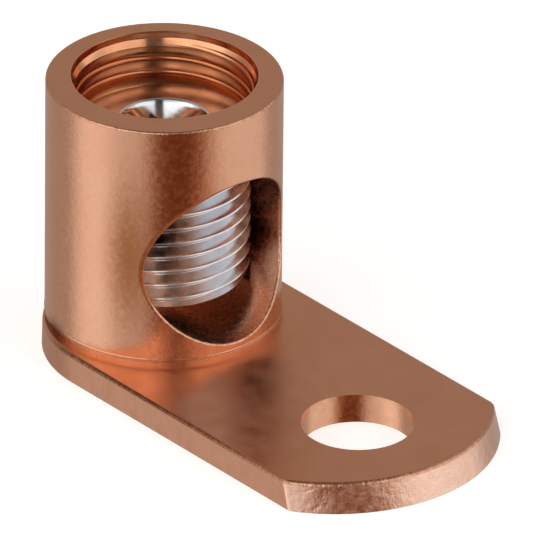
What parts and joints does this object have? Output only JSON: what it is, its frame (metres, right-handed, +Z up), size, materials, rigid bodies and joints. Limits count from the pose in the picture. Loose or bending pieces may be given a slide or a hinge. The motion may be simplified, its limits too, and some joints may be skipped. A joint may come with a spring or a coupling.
{
  "type": "copper cable lug",
  "caption": "Forged copper cable lug: upright barrel with a cross port for the conductor, a hex-socket set screw in its threaded bore, and a flat tongue with a stud hole.",
  "frame": {"origin": "middle of the stud hole on the underside of the tongue", "axes": "+Z up out of the stud hole, along the barrel and the set screw; +X along the tongue, from the barrel to the tongue's tip, the way the cable port runs"},
  "size_m": [0.0499, 0.0244, 0.0268],
  "materials": {
    "copper": "satin, forged and machined",
    "zinc_plated_steel": "bright zinc plate"
  },
  "bodies": {
    "lug": {"lug_body": "copper"},
    "screw": {"set_screw": "zinc_plated_steel"}
  },
  "joints": [
    {"name": "screw_travel", "type": "slide", "parent": "lug", "child": "screw", "axis": [0, 0, 1], "range_m": [-0.0005, 0.0135]}
  ]
}
